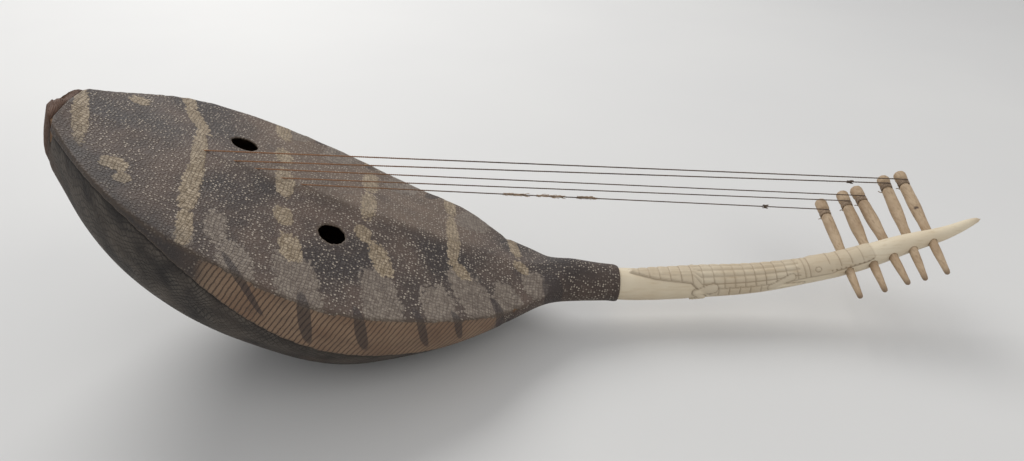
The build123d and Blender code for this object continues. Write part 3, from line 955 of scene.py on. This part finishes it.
def make_peg(number, material):
    """Peg with knife facets, its own swell and rounded ends."""
    chance = random.Random(40 + number)
    middle, towards = peg_line(number)
    first, second = peg_frame(towards)
    waist = PEG_HEAD - WINDING_INSETS[number - 1]
    facets = chance.choice([8, 9, 10])
    turned = chance.uniform(0, math.tau)
    places = [PEG_TIP + (PEG_HEAD - PEG_TIP) * step / PEG_RINGS for step in range(PEG_RINGS + 1)]
    rows, tips, knots = [], [], []
    for place in places:
        row = []
        for column in range(PEG_SIDES + 1):
            angle = math.tau * column / PEG_SIDES
            cut = math.cos(((angle + turned) * facets / math.tau % 1.0 - 0.5) * math.tau / facets)
            mark = 1 / cut - 1.0
            spot = Vector((place / 9, math.cos(angle) * 0.8, math.sin(angle) * 0.8 + number))
            rough = 0.028 * noise.noise(spot)
            radius = peg_radius(place, waist, PEG_BELLIES[number - 1])
            radius = radius * (0.985 + 0.7 * mark - 0.02 + rough) * MM
            row.append(middle + towards * place * MM + round_axis(first, second, angle) * radius)
            to_knot = math.hypot(place - KNOT_PLACE, (math.cos(angle) - 0.7) * 6 + (math.sin(angle) < 0) * 9)
            knots.append(between(2.2 - to_knot, 0.0, 1.2) if number == 5 else 0.0)
            tips.append(between(place, PEG_TIP + 9, PEG_TIP) + 0.35 * between(place, PEG_HEAD - 5, PEG_HEAD)
                        if place < PEG_TIP + 9 or place > PEG_HEAD - 5 else 0.0)
        rows.append(row)
    flats = [[(place * MM, column * MM) for column in range(PEG_SIDES + 1)] for place in places]
    piece = add_sheet(f"whittled_peg_{number}", rows, flats)
    paint(piece, "tip", tips)
    paint(piece, "knot", knots)
    close_ends(piece, PEG_SIDES + 1, len(places))
    finish_mesh(piece, weld=0.00003)
    give(piece, material, f"tuning_peg_{number}", "peg_wood", f"peg_{number}")


def make_winding(number, material):
    """Uneven turns of string round a peg's waist, with one that crosses back over them."""
    chance = random.Random(60 + number)
    middle, towards = peg_line(number)
    first, second = peg_frame(towards)
    waist = PEG_HEAD - WINDING_INSETS[number - 1]
    steps = 26
    line = []
    for step in range(TURNS * steps + 1):
        angle = math.tau * step / steps
        drift = 0.10 * math.sin(angle * 0.37 + number)
        place = waist - 2.7 + 5.4 * step / (TURNS * steps) + drift
        line.append((angle, place, WAIST_RADIUS + 0.55))
    for step in range(1, 2 * steps + 1):
        angle = math.tau * (TURNS + step / steps)
        share = step / (2 * steps)
        line.append((angle, waist + 2.7 - 5.0 * share, WAIST_RADIUS + 0.55 + 0.2 * between(share, 0.0, 0.12)))
    points = [middle + towards * place * MM + round_axis(first, second, angle) * radius * MM
              for angle, place, radius in line]
    end = points[-1]
    outwards = (end - middle - towards * (end - middle).dot(towards)).normalized()
    tail = [end + outwards * reach * MM * 0.5 + towards * chance.uniform(0.3, 0.9) * reach * MM
            - outwards.cross(towards) * reach * MM * 0.9 for reach in (1, 2, 3.2, 4.6)]
    lines = [points + tail]
    if number == 4:
        side = outwards.cross(towards)
        lines.append([end - towards * (4.6 - 4.6 * math.cos(math.tau * step / 24)) * MM
                      + side * 2.2 * math.sin(math.tau * step / 24) * MM for step in range(25)])
    piece = add_tube(f"string_turns_{number}", lines, THREAD_RADIUS * MM)
    give(piece, material, f"tuning_peg_{number}", "string_fibre", f"peg_winding_{number}")


def string_ends(number):
    """Ends of a string's CAD rod: in the bowl under the rib, and over its winding."""
    low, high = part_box(f"string_{number}")
    edge = STRING_RADIUS * MM
    return (Vector((low[0] + edge * 0.3, 0.0, high[2] - edge)),
            Vector((high[0] - edge * 0.3, high[1] - edge, low[2] + edge)))


def string_route(number):
    """Points read from the string's own smooth line."""
    start, end = string_ends(number)
    curve = bpy.data.curves.new("route", "CURVE")
    curve.dimensions, curve.resolution_u = "3D", 700
    spline = curve.splines.new("NURBS")
    spline.points.add(2)
    for knot, point in zip(spline.points, (start, start.lerp(end, 0.5), end)):
        knot.co = (*point, 1)
    spline.order_u, spline.use_endpoint_u = 3, True
    holder = bpy.data.objects.new("route", curve)
    scene.collection.objects.link(holder)
    mesh = bpy.data.meshes.new_from_object(holder)
    points = [vertex.co.copy() for vertex in mesh.vertices]
    bpy.data.objects.remove(holder, do_unlink=True)
    return points


def strand(points, radius, pitch, turned, flutter=0.0):
    """One strand twisted round a straight run of points."""
    along = (points[-1] - points[0]).normalized()
    first = along.cross(Vector((0, 0, 1))).normalized()
    second = along.cross(first)
    line = []
    length = (points[-1] - points[0]).length
    for step in range(int(length / pitch * 8) + 1):
        place = min(step * pitch / 8, length)
        angle = math.tau * place / pitch + turned
        reach = radius * (1 + flutter * noise.noise(Vector((place * 900, turned, 0))))
        line.append(points[0] + along * place + round_axis(first, second, angle) * reach)
    return line


def make_string(number, material):
    """String of two plies twisted round each other, straight from its toggle to its winding."""
    points = string_route(number)
    thick = 0.31 if number < 4 else 0.35
    lines = [strand(points, PLY_REACH * MM, PLY_PITCH * MM, turned, 0.25) for turned in (0.0, math.pi)]
    piece = add_tube(f"twisted_string_{number}", lines, thick * MM)
    give(piece, material, "harp", "string_fibre", f"string_{number}")


def bind_string(name, number, first, last, material, thick=0.9, seed=1):
    """Frayed fibre wound round a string between two shares of its length."""
    chance = random.Random(seed)
    points = string_route(number)
    run = [points[0].lerp(points[-1], first), points[0].lerp(points[-1], last)]
    turns = strand(run, thick * MM, 1.25 * MM, 0.0, 0.5)
    along = (run[1] - run[0]).normalized()
    lines = [turns]
    for _ in range(22):
        root = run[0].lerp(run[1], chance.random())
        out = Vector([chance.uniform(-1, 1) for _ in range(3)])
        out = (out - along * out.dot(along)).normalized()
        reach = chance.uniform(0.6, 1.5) * MM
        lines.append([root + out * thick * MM * 0.8, root + out * reach + along * reach * 1.2,
                      root + out * reach * 1.2 + along * reach * 3.0])
    piece = add_tube(name, lines, 0.26 * MM)
    give(piece, material, "harp", "string_fibre")


def make_floor():
    deselect()
    bpy.ops.mesh.primitive_plane_add(size=12, location=(0, 0, 0))
    floor = bpy.context.object
    floor.name = "floor"
    paint_work = Finish("pale_floor", roughness=0.55, specular=0.3)
    drift = paint_work.noise(paint_work.place(), 3.0)
    floor.data.materials.append(paint_work.done(
        paint_work.blend(drift, (0.60, 0.60, 0.60), (0.65, 0.65, 0.64))))


# ---- put the harp together ----
make_camera()
make_floor()
world = bpy.data.worlds.new("studio")
world.use_nodes = True
world.node_tree.nodes["Background"].inputs[0].default_value = (0.93, 0.93, 0.94, 1)
world.node_tree.nodes["Background"].inputs[1].default_value = 0.62
scene.world = world
make_light("window", (-0.7, 1.5, 1.6), 1.5, 32, (1.0, 0.99, 0.97))
make_light("fill", (1.2, -0.9, 1.4), 1.6, 7, (1.0, 0.97, 0.92))

top_skin, belly_skin = finish_top_hide(), finish_belly_hide()
neck_wood, peg_wood, bowl_wood = finish_neck(), finish_peg_wood(), finish_bowl_wood()
dark_fibre = finish_fibre("string_fibre", (0.055, 0.040, 0.032), (0.20, 0.145, 0.105))
peg_fibre = finish_fibre("peg_fibre", (0.25, 0.175, 0.12), (0.42, 0.325, 0.235))
frayed_fibre = finish_fibre("frayed_fibre", (0.24, 0.155, 0.095), (0.46, 0.34, 0.23))

make_top_hide(top_skin)
make_belly_hide(belly_skin)
make_neck(neck_wood)
for number in STRINGS:
    make_peg(number, peg_wood)
    make_winding(number, peg_fibre)
    make_string(number, dark_fibre)
for node in ["sound_bowl", "string_rib"] + [f"string_toggle_{number}" for number in STRINGS]:
    frame["nodes"][node].data.materials.clear()
    frame["nodes"][node].data.materials.append(bowl_wood)
bind_string("binding_1", 1, 0.392, 0.430, frayed_fibre, 0.9, 1)
bind_string("binding_2", 1, 0.448, 0.492, frayed_fibre, 0.75, 2)
bind_string("binding_3", 1, 0.518, 0.548, frayed_fibre, 1.1, 3)
bind_string("string_tuft", 1, 0.865, 0.871, dark_fibre, 1.5, 4)
bind_string("string_end", 4, 0.925, 0.930, dark_fibre, 1.0, 5)
